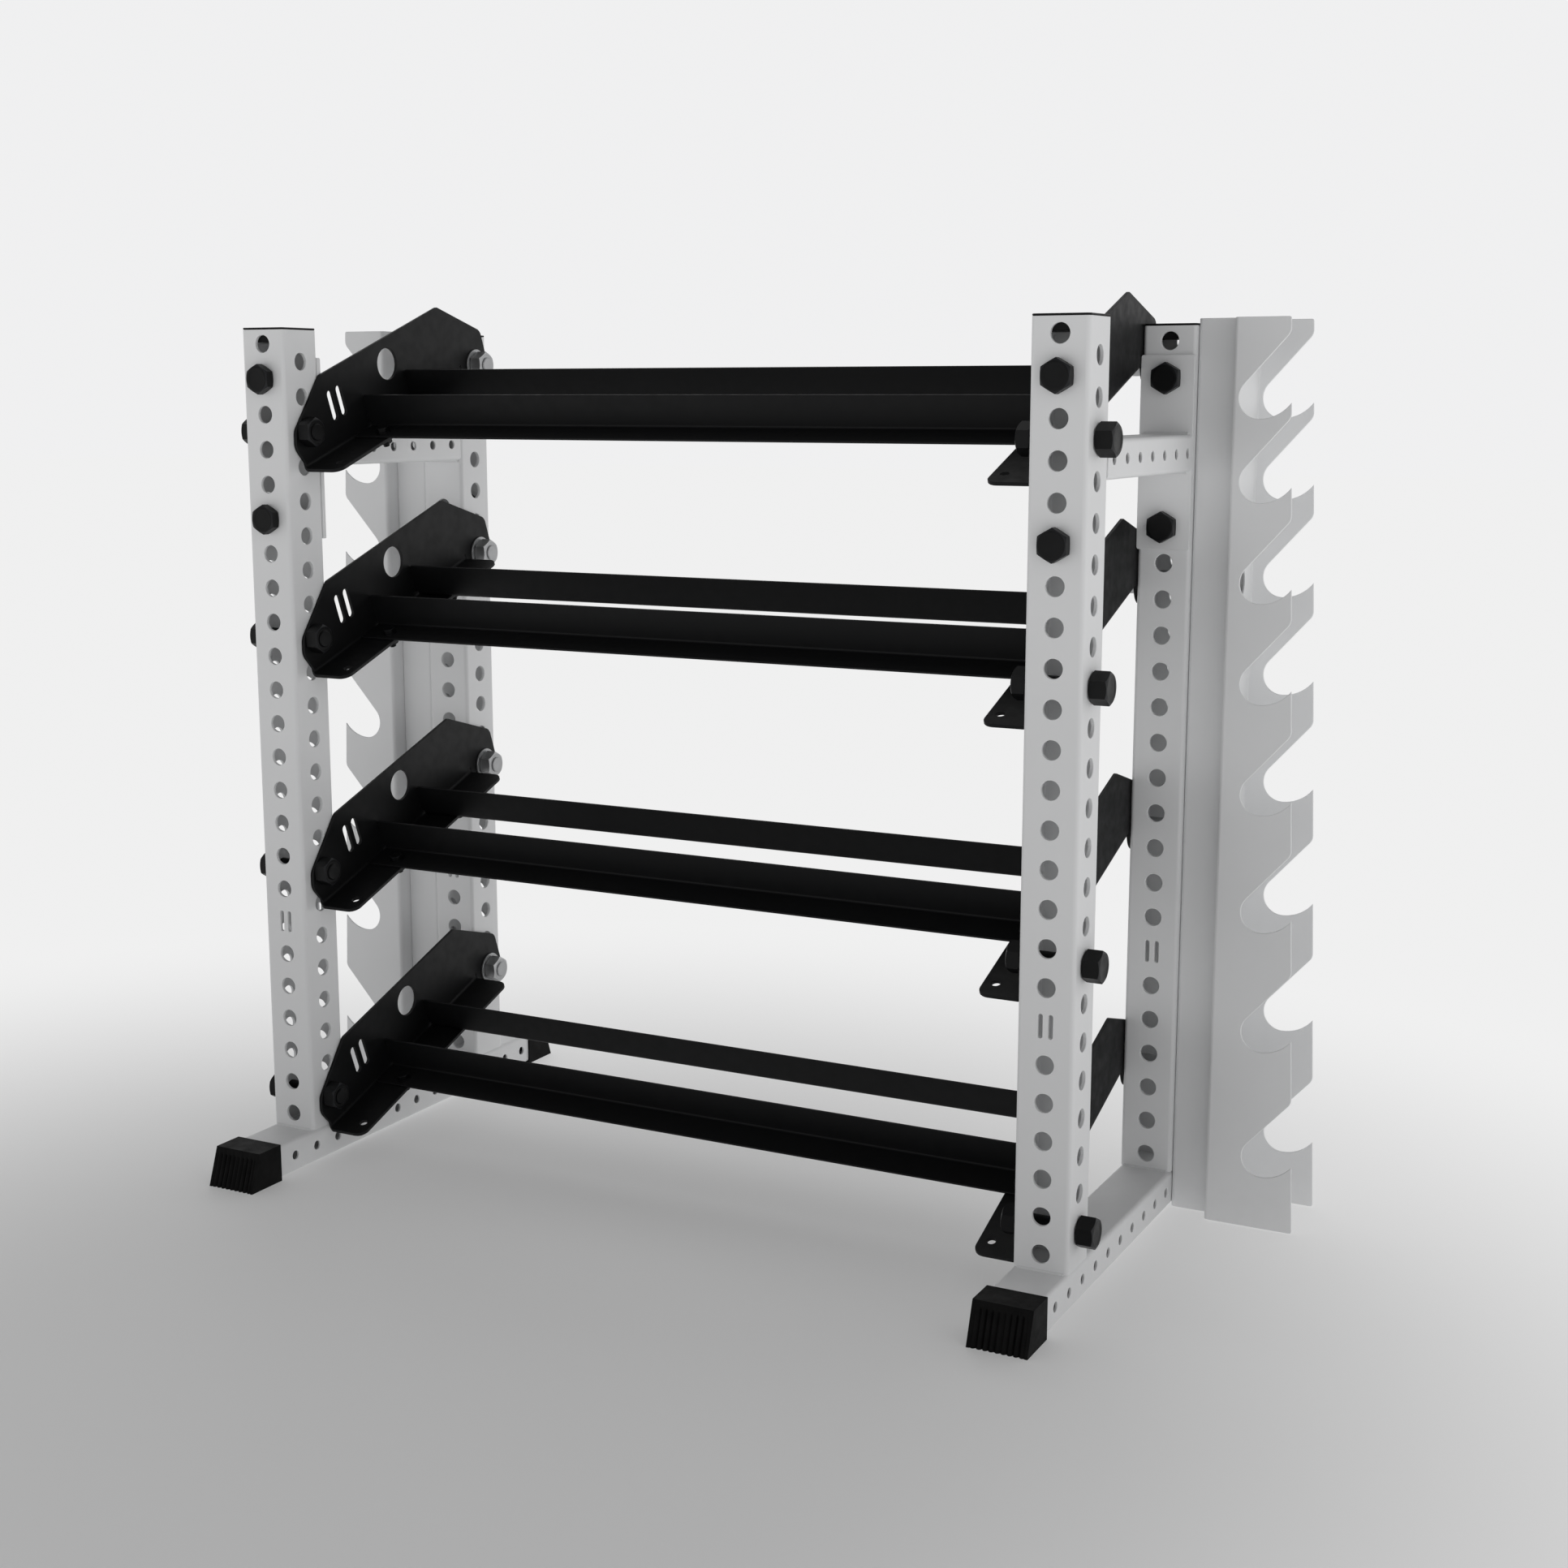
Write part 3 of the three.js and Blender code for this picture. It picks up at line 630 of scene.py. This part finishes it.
def build_side_frames():
    for hand, side in HANDS:
        base_low, base_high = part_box(f"base_tube_{hand}")
        places = [BASE_FIRST_HOLE + i * PITCH for i in range(BASE_HOLES)]
        base = lying_tube(base_low, base_high, THIN_WALL, places)
        piece(f"base_tube_shown_{hand}", [base], WHITE, "white_coat", f"base_tube_{hand}")
        for row, end in ROWS:
            plated = end == side  # a crossmember's plate is at the left front or the right rear
            low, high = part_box(f"upright_{row}_{hand}")
            low.z = base_high.z
            solids = [upright(low, high, 0 if plated else -end)] + foot_welds(low, high)
            piece(f"upright_shown_{row}_{hand}", solids, WHITE, "white_coat", f"upright_{row}_{hand}")
            node = f"upright_cap_{row}_{hand}"
            piece(f"cap_shown_{row}_{hand}", cap(*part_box(node)), PLASTIC, "cap_plastic", node)
            node = f"foot_{row}_{hand}"
            foot = boot(*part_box(node), base_low, base_high, end)
            piece(f"boot_shown_{row}_{hand}", [foot], RUBBER, "foot_rubber", node)
            # Only the left rear bolts have their heads at the rear.
            head_side = 1 if (row, hand) == ("rear", "left") else -1
            for level in ("upper", "lower"):
                node = f"frame_bolt_{row}_{hand}_{level}"
                solids = frame_bolt(*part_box(node), plated, head_side)
                piece(f"frame_bolt_shown_{row}_{hand}_{level}", solids, STEEL, "bolt_steel", node)


def build_crossmember(hand, side):
    """The beam between two uprights, with a bolted plate on one end: the rear end at the right, the front
    end at the left."""
    node = f"crossmember_{hand}"
    low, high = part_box(node)
    middle = (low + high) / 2
    length = high.y - low.y
    half = (high.x - low.x) / 2
    tall = (high.z - low.z) / 2
    beam_low = Vector((-half, 0.0005, -BEAM_HEIGHT / 2))
    beam_high = Vector((half, length - BEAM_PLATE, BEAM_HEIGHT / 2))
    places = [length / 2 + (i - (CROSS_HOLES - 1) / 2) * PITCH for i in range(CROSS_HOLES)]
    solids = [lying_tube(beam_low, beam_high, THIN_WALL, places)]
    holes = [circle(0, z, HOLE) for z in (-2 * PITCH, 2 * PITCH)]
    flange = sheet(rectangle((-half, half), (-tall, tall), 0.003), holes, BEAM_PLATE)
    solids.append(placed(flange, axes((-1, 0, 0), (0, 0, 1), (0, 1, 0), (0, beam_high.y, 0))))
    across = (-half + TUBE_CORNER, half - TUBE_CORNER)
    for z, up in ((beam_low.z, -1), (beam_high.z, 1)):
        solids.append(weld(*[(x, beam_high.y, z) for x in across], (0, 0, up), (0, -1, 0)))
        solids.append(weld(*[(x, beam_low.y, z) for x in across], (0, 0, up), (0, 1, 0)))
    place = Matrix.Translation((middle.x, low.y if side > 0 else high.y, middle.z))
    place = place @ Matrix.Diagonal((side, side, 1, 1))
    solids = [placed(bm, place) for bm in solids]
    piece(f"crossmember_shown_{hand}", solids, WHITE, "white_coat", node)


# Shelves.
def slope_matrix(hand, x, bolt):
    """Takes (along the slope, square to it, outwards) to the frame, at a shelf's front bolt."""
    along = (0, math.cos(SLOPE), math.sin(SLOPE))
    up = (0, -math.sin(SLOPE), math.cos(SLOPE))
    return mirror_x(hand) @ axes(along, up, (1, 0, 0), (x, bolt.y, bolt.z))


def bracket(upright_gap, rail_bolt_reach):
    """The side bracket: a plate with its lower edge folded inwards. upright_gap is between its two bolts,
    along Y, and rail_bolt_reach is from its outer face to the rail bolts."""
    thickness, bend = BRACKET["thickness"], BRACKET["bend"]
    rear_along = upright_gap * math.cos(SLOPE) + REAR_RISE * math.sin(SLOPE)
    rear_up = REAR_RISE * math.cos(SLOPE) - upright_gap * math.sin(SLOPE)
    lobe = 0.030
    bottom = BRACKET["bottom"]
    line = bottom + bend + thickness
    tip = line - flat_reach(BRACKET["flange"], bend, thickness)
    front, rear = FLANGE_ENDS
    relief = rear + BEND_RELIEF
    outline = rounded(
        [
            (front, tip, 0.016),
            (rear, tip, 0.016),
            (rear, line + BEND_RELIEF, 0),
            (relief, line + BEND_RELIEF, 0),
            (relief, rear_up - lobe, 0.022),
            (rear_along + 1.15 * lobe, rear_up - lobe, 0.028),
            (rear_along + 1.15 * lobe, -0.007, 0.016),
            (0.3755, 0.065, 0.009),
            (0.062, 0.065, 0.009),
            (-0.0205, 0.009, 0.018),
            (-0.0295, -0.015, 0.022),
            (-0.0175, line, 0.006),
            (front, line - 0.012, 0.005),
        ]
    )
    slots = BRACKET_SLOTS
    tie = tip + TIE_HOLE["inset"]
    holes = [
        circle(0, 0, HOLE),
        circle(rear_along, rear_up, HOLE),
        circle(*LIGHTENING_HOLE, 40),
        circle(TIE_HOLE["along"], tie, TIE_HOLE["radius"], 24),
    ]
    holes += [upright_slot(x, slots["up"], slots["width"], slots["length"]) for x in slots["along"]]
    bolt_line = line - flat_reach(rail_bolt_reach, bend, thickness)
    holes += [circle(x, bolt_line, RAIL_BOLT["hole"], 24) for x in RAIL_BOLTS_ALONG]
    made = sheet(outline, holes, thickness)
    return fold(made, line, -1, bend, thickness, until=rear + BEND_RELIEF / 2)


def rail(half_length):
    """An angle rail, drawn flat as its standing leg with the lying leg folded towards -z. The lying leg is
    shorter, to clear the bends of the brackets."""
    thickness, bend = RAIL["thickness"], RAIL["bend"]
    line = RAIL["bottom"] + bend + thickness
    edge = line - flat_reach(RAIL["leg"], bend, thickness)
    step = line + 0.001
    short = half_length - BRACKET["bend"] - 2 * CLEARANCE
    top = RAIL["top"]
    right = [(short, edge, 0.004), (short, step, 0), (half_length, step, 0), (half_length, top, 0.004)]
    left = [(-x, y, radius) for x, y, radius in reversed(right)]
    bolt_line = line - flat_reach(RAIL_BOLT["behind_lip"], bend, thickness)
    holes = [circle(x, bolt_line, RAIL_BOLT["hole"], 24) for x in (-RAIL_BOLT["x"], RAIL_BOLT["x"])]
    return fold(sheet(rounded(right + left), holes, thickness), line, -1, bend, thickness)


def rail_bolts(hand, bolt, along):
    """The small bolt that holds a rail's end down on its bracket's flange."""
    tray_top = RAIL["bottom"] + RAIL["thickness"]
    up = slope_matrix(hand, 0, bolt)
    centre = Matrix.Translation((along, tray_top, RAIL_BOLT["x"]))
    down = axes((1, 0, 0), (0, 0, 1), (0, -1, 0), (0, 0, 0))
    grip = RAIL["thickness"] + BRACKET["thickness"] + 0.0003
    flats = RAIL_BOLT["flats"]
    washer_rings = [(flats * 0.62, -0.0018), (flats * 0.65, -0.0014), (flats * 0.65, -CLEARANCE)]
    solids = [
        turned([lambda a, ring=ring: ring for ring in washer_rings], 32),
        hexagon(flats, -0.0082, -0.0016, dish=0.0003),
        rod(flats * 0.29, 0, grip + 0.014, thread_from=grip, pitch=0.0015),
        hexagon(flats, grip + CLEARANCE, grip + 0.0095, dish=0.0003),
    ]
    return [placed(bm, up @ centre @ down) for bm in solids]


def build_shelf(number):
    front_bolt = sum(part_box(f"shelf_{number}_front_bolt_right"), Vector()) / 2
    rear_bolt = sum(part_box(f"shelf_{number}_rear_bolt_right"), Vector()) / 2
    thickness = BRACKET["thickness"]
    for hand, side in HANDS:
        node = f"shelf_{number}_bracket_{hand}"
        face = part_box(f"shelf_{number}_bracket_right")[1].x
        made = bracket(rear_bolt.y - front_bolt.y, face - RAIL_BOLT["x"])
        placed(made, slope_matrix(side, face - thickness, front_bolt))
        piece(f"shelf_{number}_bracket_shown_{hand}", [made], BLACK, "black_coat", node)
        for row in ("front", "rear"):
            node = f"shelf_{number}_{row}_bolt_{hand}"
            low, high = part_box(f"shelf_{number}_{row}_bolt_right")
            middle = (low + high) / 2
            head, nut = SHELF_BOLT["head"], SHELF_BOLT["nut"]
            spread = WASHER_HEIGHT if row == "rear" else 0.0
            grip = high.x - low.x - head - nut - spread
            bearing = (high.x - head, middle.y, middle.z)
            matrix = mirror_x(side) @ axes((0, 0, 1), (0, 1, 0), (-1, 0, 0), bearing)
            solids = hex_bolt(head, grip, nut, matrix, spread)
            finish, slot = (ZINC, "zinc_steel") if row == "rear" else (STEEL, "bolt_steel")
            piece(f"shelf_{number}_{row}_bolt_shown_{hand}", solids, finish, slot, node)
        bolts = [bm for along in RAIL_BOLTS_ALONG for bm in rail_bolts(side, front_bolt, along)]
        piece(f"shelf_{number}_rail_bolts_{hand}", bolts, STEEL, "bolt_steel")
    along = Vector((0, math.cos(SLOPE), math.sin(SLOPE)))
    up = Vector((0, -math.sin(SLOPE), math.cos(SLOPE)))
    origin = Vector((0, front_bolt.y, front_bolt.z))
    for row, lip, tray in (("front", FRONT_LIP, -1), ("rear", REAR_LIP, 1)):
        node = f"shelf_{number}_rail_{row}"
        half_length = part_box(node)[1].x
        place = origin + along * (lip + tray * RAIL["thickness"])
        matrix = axes((tray, 0, 0), up, -tray * along, place)
        made = placed(rail(half_length), matrix)
        piece(f"shelf_{number}_rail_shown_{row}", [made], BLACK, "black_coat", node)


# Side storage.
def notched_corners(bottom, top):
    """Corners (reach, height, radius) up the notched edge of a storage channel's side."""

    def edge(z):
        return TOP_REACH + (BOTTOM_REACH - TOP_REACH) * (top - z) / (top - bottom)

    corners = [(edge(bottom), bottom, 0.003)]

    def arc(x, z, radius, start, end, steps):
        for step in range(steps + 1):
            angle = start + (end - start) * step / steps
            corners.append((x + radius * math.cos(angle), z + radius * math.sin(angle), 0))

    down = -math.pi / 2
    swing = math.asin(NOTCH_INSET / NOTCH_FLOOR)
    for tip in NOTCH_TIPS:
        x = edge(tip) - NOTCH_INSET
        floor = tip - NOTCH_FLOOR * (1 - math.cos(swing))
        arc(x, floor + NOTCH_FLOOR, NOTCH_FLOOR, down + swing, down, 9)
        arc(x, floor + NOTCH_SEAT, NOTCH_SEAT, down - 0.12, NOTCH_ROOF - 1.5 * math.pi, 14)
        roof_x, roof_z, _ = corners[-1]
        shoulder = edge(tip + 0.09)
        rise = (shoulder - roof_x) * math.tan(NOTCH_ROOF)
        corners.append((shoulder, roof_z + rise, NOTCH_CORNER))
    corners.append((edge(top), top, 0.003))
    return corners


def channel(low, high, corners, holes):
    """A sheet along Z with both sides folded outwards (+X). corners gives how far its sides reach at each
    height."""
    thickness, bend = SHEET["thickness"], SHEET["bend"]
    line = (high.y - low.y) / 2 - bend - thickness
    flat = [(z, line + flat_reach(reach, bend, thickness), radius) for reach, z, radius in corners]
    outline = rounded([(z, -y, radius) for z, y, radius in flat] + flat[::-1])
    made = sheet(outline, holes, thickness)
    fold(made, line, 1, bend, thickness)
    fold(made, -line, -1, bend, thickness)
    return placed(made, axes((0, 0, 1), (0, 1, 0), (-1, 0, 0), (low.x + thickness, (low.y + high.y) / 2, 0)))


def build_storage(hand, side):
    bolts = [sum(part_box(f"shelf_{n}_rear_bolt_right"), Vector()).z / 2 for n in range(1, 5)]
    low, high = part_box("storage_channel_right")
    holes = [circle(z, 0, ACCESS_HOLE, 48) for z in bolts]
    made = channel(low, high, notched_corners(low.z, high.z), holes)
    node = f"storage_channel_{hand}"
    piece(f"storage_channel_shown_{hand}", [placed(made, mirror_x(side))], WHITE, "white_coat", node)
    low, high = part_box("storage_standoff_right")
    depth = high.x - low.x
    corners = [(depth, low.z, 0.002), (depth, high.z, 0.002)]
    made = channel(low, high, corners, [circle(z, 0, HOLE) for z in bolts])
    node = f"storage_standoff_{hand}"
    piece(f"storage_standoff_shown_{hand}", [placed(made, mirror_x(side))], WHITE, "white_coat", node)


# Stage.
def build_floor():
    mesh = bpy.data.meshes.new("floor")
    half = 30
    corners = [(-half, -half, 0), (half, -half, 0), (half, half, 0), (-half, half, 0)]
    mesh.from_pydata(corners, [], [(0, 1, 2, 3)])
    floor = bpy.data.objects.new("floor", mesh)
    bpy.context.scene.collection.objects.link(floor)
    made = bpy.data.materials.new("pale_floor")
    made.use_nodes = True
    nodes, links = made.node_tree.nodes, made.node_tree.links
    shader = nodes["Principled BSDF"]
    shader.inputs["Base Color"].default_value = (0.84, 0.84, 0.84, 1)
    shader.inputs["Roughness"].default_value = 0.7
    # The floor glows, as painted light: faintly within half a metre of a point just in front of the rack, more
    # and more farther off, and fully past 2.3 m.
    painted_glow = nodes.new("ShaderNodeEmission")
    painted_glow.inputs["Color"].default_value = (0.87, 0.87, 0.87, 1)
    place = nodes.new("ShaderNodeTexCoord")
    far = nodes.new("ShaderNodeVectorMath")
    far.operation = "DISTANCE"
    far.inputs[1].default_value = (0.0, -0.77, 0)
    links.new(place.outputs["Object"], far.inputs[0])
    fade = nodes.new("ShaderNodeMapRange")
    fade.interpolation_type = "SMOOTHSTEP"
    fade.inputs["From Min"].default_value = 0.5
    fade.inputs["From Max"].default_value = 2.3
    fade.inputs["To Min"].default_value = 0.18
    links.new(far.outputs["Value"], fade.inputs["Value"])
    mix = nodes.new("ShaderNodeMixShader")
    links.new(fade.outputs["Result"], mix.inputs["Fac"])
    links.new(shader.outputs["BSDF"], mix.inputs[1])
    links.new(painted_glow.outputs["Emission"], mix.inputs[2])
    links.new(mix.outputs["Shader"], nodes["Material Output"].inputs["Surface"])
    mesh.materials.append(made)


def build_world():
    """A bright horizon all round under a dimmer sky, that is dimmest above the front, behind the camera."""
    world = bpy.data.worlds.new("studio")
    bpy.context.scene.world = world
    world.use_nodes = True
    nodes, links = world.node_tree.nodes, world.node_tree.links
    place = nodes.new("ShaderNodeTexCoord")
    split = nodes.new("ShaderNodeSeparateXYZ")
    links.new(place.outputs["Generated"], split.inputs["Vector"])
    ramp = nodes.new("ShaderNodeValToRGB")
    ramp.color_ramp.elements[0].position = 0.22
    ramp.color_ramp.elements[0].color = (0.87, 0.87, 0.875, 1)
    ramp.color_ramp.elements[1].position = 0.75
    ramp.color_ramp.elements[1].color = (0.43, 0.43, 0.43, 1)
    links.new(split.outputs["Z"], ramp.inputs["Fac"])
    links.new(ramp.outputs["Color"], nodes["Background"].inputs["Color"])

    def spread(output, low, high, first, last):
        node = nodes.new("ShaderNodeMapRange")
        for end, value in (("From Min", low), ("From Max", high)):
            node.inputs[end].default_value = value
        for end, value in (("To Min", first), ("To Max", last)):
            if isinstance(value, float):
                node.inputs[end].default_value = value
            else:
                links.new(value, node.inputs[end])
        links.new(output, node.inputs["Value"])
        return node.outputs["Result"]

    overhead = spread(split.outputs["Y"], -0.3, 0.5, 0.40, 1.0)
    strength = spread(split.outputs["Z"], 0.08, 0.30, 1.0, overhead)
    links.new(strength, nodes["Background"].inputs["Strength"])


def area_light(name, place, target, size, power):
    light = bpy.data.lights.new(name, "AREA")
    light.shape = "RECTANGLE"
    light.size, light.size_y = size
    light.energy = power
    made = bpy.data.objects.new(name, light)
    made.location = place
    made.rotation_euler = (Vector(target) - Vector(place)).to_track_quat("-Z", "Y").to_euler()
    bpy.context.scene.collection.objects.link(made)


def build_camera():
    camera = bpy.data.cameras.new("camera")
    camera.sensor_width = 36
    camera.lens = 50.17
    made = bpy.data.objects.new("camera", camera)
    made.location = (1.5545, -2.7833, 1.1703)
    made.rotation_euler = (math.radians(79.935), 0, math.radians(27.434))
    bpy.context.scene.collection.objects.link(made)
    bpy.context.scene.camera = made


build_side_frames()
for hand, side in HANDS:
    build_crossmember(hand, side)
    build_storage(hand, side)
for number in range(1, 5):
    build_shelf(number)

build_floor()
build_world()
area_light("key", (6.6, -3.0, 3.8), (0.2, 0, 0.7), (3.5, 3.5), 15)
area_light("back", (-2.2, 3.4, 3.0), (0, 0, 0.6), (2.5, 2.0), 10)
build_camera()
bpy.context.scene.view_settings.view_transform = "Standard"
